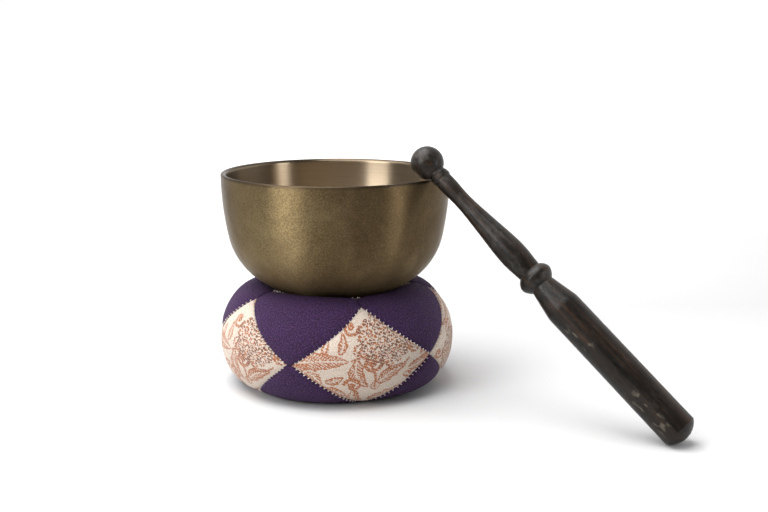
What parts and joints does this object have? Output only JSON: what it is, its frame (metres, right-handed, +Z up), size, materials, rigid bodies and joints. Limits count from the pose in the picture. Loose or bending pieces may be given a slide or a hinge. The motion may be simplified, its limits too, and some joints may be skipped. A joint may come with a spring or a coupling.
{
  "type": "singing bowl",
  "caption": "Deep round brass singing bowl on a patchwork ring cushion, with a turned wooden striker leaning on its rim.",
  "frame": {"origin": "centre of the cushion's base, on the surface it stands on", "axes": "+Z up along the bowl's axis, front towards -Y, the striker leans out towards +X and -Y"},
  "size_m": [0.2234, 0.1804, 0.1291],
  "materials": {
    "brass": "aged, brushed, satin with a polished lip",
    "dark_wood": "turned, waxed",
    "stuffing": "packed cotton",
    "brocade": "cream brocade with a copper floral weave",
    "crepe": "fine purple crepe",
    "thread": "twisted thread"
  },
  "bodies": {
    "cushion": {"stuffing_ring": "stuffing", "base_cloth": "crepe", "seam_thread": "thread", "outer_brocade_1": "brocade", "outer_brocade_2": "brocade", "outer_brocade_3": "brocade", "outer_brocade_4": "brocade", "outer_brocade_5": "brocade", "top_crepe_1": "crepe", "top_crepe_2": "crepe", "top_crepe_3": "crepe", "top_crepe_4": "crepe", "top_crepe_5": "crepe", "inner_brocade_1": "brocade", "inner_brocade_2": "brocade", "inner_brocade_3": "brocade", "inner_brocade_4": "brocade", "inner_brocade_5": "brocade", "under_crepe_1": "crepe", "under_crepe_2": "crepe", "under_crepe_3": "crepe", "under_crepe_4": "crepe", "under_crepe_5": "crepe"},
    "bowl": {"bowl": "brass"},
    "striker": {"striker": "dark_wood"}
  },
  "joints": [
    {"name": "bowl_lift", "type": "slide", "parent": "cushion", "child": "bowl", "axis": [0, 0, 1], "range_m": [0, 0.09]},
    {"name": "striker_lift", "type": "slide", "parent": "bowl", "child": "striker", "axis": [0.5402, -0.3653, 0.7581], "range_m": [0, 0.12]}
  ]
}
